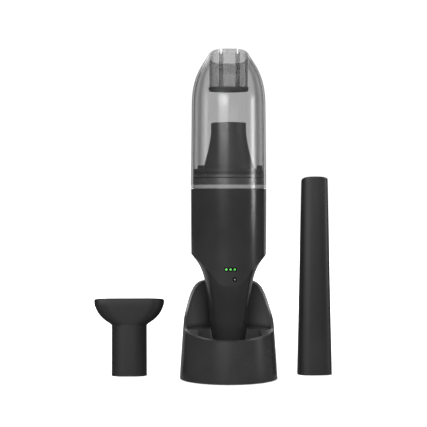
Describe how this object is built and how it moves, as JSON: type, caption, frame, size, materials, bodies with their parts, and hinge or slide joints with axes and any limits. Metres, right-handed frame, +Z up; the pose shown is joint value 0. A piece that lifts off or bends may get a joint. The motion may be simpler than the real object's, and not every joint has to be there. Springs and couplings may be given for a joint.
{
  "type": "handheld vacuum cleaner",
  "caption": "Cordless handheld vacuum with clear dust cup, standing nose-up in a round charging cradle, with wide and crevice tools.",
  "frame": {"origin": "centre of the underside of the cradle's rubber pad, on the table", "axes": "+Z up along the standing vacuum; -Y towards the side with the charge lights; +X to the right seen from there"},
  "size_m": [0.2357, 0.0948, 0.3192],
  "materials": {
    "shell_plastic": "satin moulded charcoal plastic",
    "dock_plastic": "satin moulded charcoal plastic",
    "tool_plastic": "satin moulded charcoal plastic",
    "inner_plastic": "plain moulded dark plastic",
    "smoke_clear": "transparent smoke-grey plastic",
    "clear_plastic": "transparent grey plastic",
    "green_light": "green charge light lens",
    "white_lens": "clear indicator lens",
    "black_rubber": "soft black rubber",
    "steel": "zinc-plated steel",
    "nickel": "nickel strip",
    "gold": "gold-plated contact",
    "copper": "copper windings on a steel core",
    "magnet": "ferrite magnet",
    "cell_wrap": "shrink-wrapped cell",
    "board": "green circuit board",
    "foam": "open-cell foam",
    "filter_paper": "pleated filter medium"
  },
  "bodies": {
    "cradle": {"dock_shell": "dock_plastic", "socket_liner": "black_rubber", "dock_base_plate": "inner_plastic", "dock_pad": "black_rubber", "dock_screws": "steel", "dock_pcb": "board", "dock_jack": "inner_plastic", "pin_block": "inner_plastic", "pin_springs": "steel"},
    "charge_pins": {"charge_pins": "gold"},
    "hand_unit": {"front_shell": "shell_plastic", "rear_shell": "shell_plastic", "cup_collar": "inner_plastic", "cup_seal_ring": "black_rubber", "handle_end_cap": "shell_plastic", "charge_contacts": "gold", "battery_cells": "cell_wrap", "nickel_strips": "nickel", "battery_bracket": "inner_plastic", "control_pcb": "board", "led_lenses": "green_light", "indicator_lens": "white_lens", "power_switch": "inner_plastic", "motor_can": "steel", "motor_end_cap": "inner_plastic", "motor_magnets": "magnet", "motor_bearings": "steel", "motor_cradle": "inner_plastic", "motor_damper": "black_rubber", "diffuser": "inner_plastic", "fan_shroud": "inner_plastic", "exhaust_foam": "foam", "body_screws": "steel"},
    "power_button": {"power_button": "inner_plastic"},
    "release_button": {"release_button": "inner_plastic", "release_latch": "inner_plastic"},
    "fan_rotor": {"rotor_shaft": "steel", "armature": "copper", "impeller": "inner_plastic"},
    "cup": {"dust_cup": "smoke_clear", "inlet_duct": "clear_plastic", "duct_guides": "inner_plastic", "duct_seal": "black_rubber", "flap_pin": "steel"},
    "flap": {"inlet_flap": "black_rubber"},
    "filter": {"filter_base": "inner_plastic", "filter_seal": "black_rubber", "filter_shroud": "inner_plastic", "filter_pleats": "filter_paper", "filter_cap": "inner_plastic"},
    "wide_nozzle": {"wide_nozzle": "tool_plastic"},
    "crevice_tool": {"crevice_tool": "tool_plastic"}
  },
  "joints": [
    {"name": "undock", "type": "slide", "parent": "cradle", "child": "hand_unit", "axis": [0, 0, 1], "range_m": [0, 0.09]},
    {"name": "charge_pins_press", "type": "slide", "parent": "cradle", "child": "charge_pins", "axis": [0, 0, -1], "range_m": [0, 0.0012], "stiffness_N_per_m": 60, "deforming": ["pin_springs"]},
    {"name": "power_press", "type": "slide", "parent": "hand_unit", "child": "power_button", "axis": [0, -1, 0], "range_m": [0, 0.0015], "stiffness_N_per_m": 150},
    {"name": "release_press", "type": "slide", "parent": "hand_unit", "child": "release_button", "axis": [0, -1, 0], "range_m": [0, 0.0015], "stiffness_N_per_m": 150},
    {"name": "fan_spin", "type": "hinge", "parent": "hand_unit", "child": "fan_rotor", "pos_m": [0, 0, 0.16], "axis": [0, 0, 1], "continuous": true},
    {"name": "cup_pull", "type": "slide", "parent": "hand_unit", "child": "cup", "axis": [0, 0, 1], "range_m": [0, 0.08]},
    {"name": "inlet_flap_hinge", "type": "hinge", "parent": "cup", "child": "flap", "pos_m": [0, 0.0166, 0.2809], "axis": [1, 0, 0], "range_deg": [0, 38]},
    {"name": "filter_lift", "type": "slide", "parent": "hand_unit", "child": "filter", "axis": [0, 0, 1], "range_m": [0, 0.01]},
    {"name": "wide_nozzle_lift", "type": "slide", "parent": "cradle", "child": "wide_nozzle", "axis": [0, 0, 1], "range_m": [0, 0.1]},
    {"name": "crevice_tool_lift", "type": "slide", "parent": "cradle", "child": "crevice_tool", "axis": [0, 0, 1], "range_m": [0, 0.1]}
  ]
}
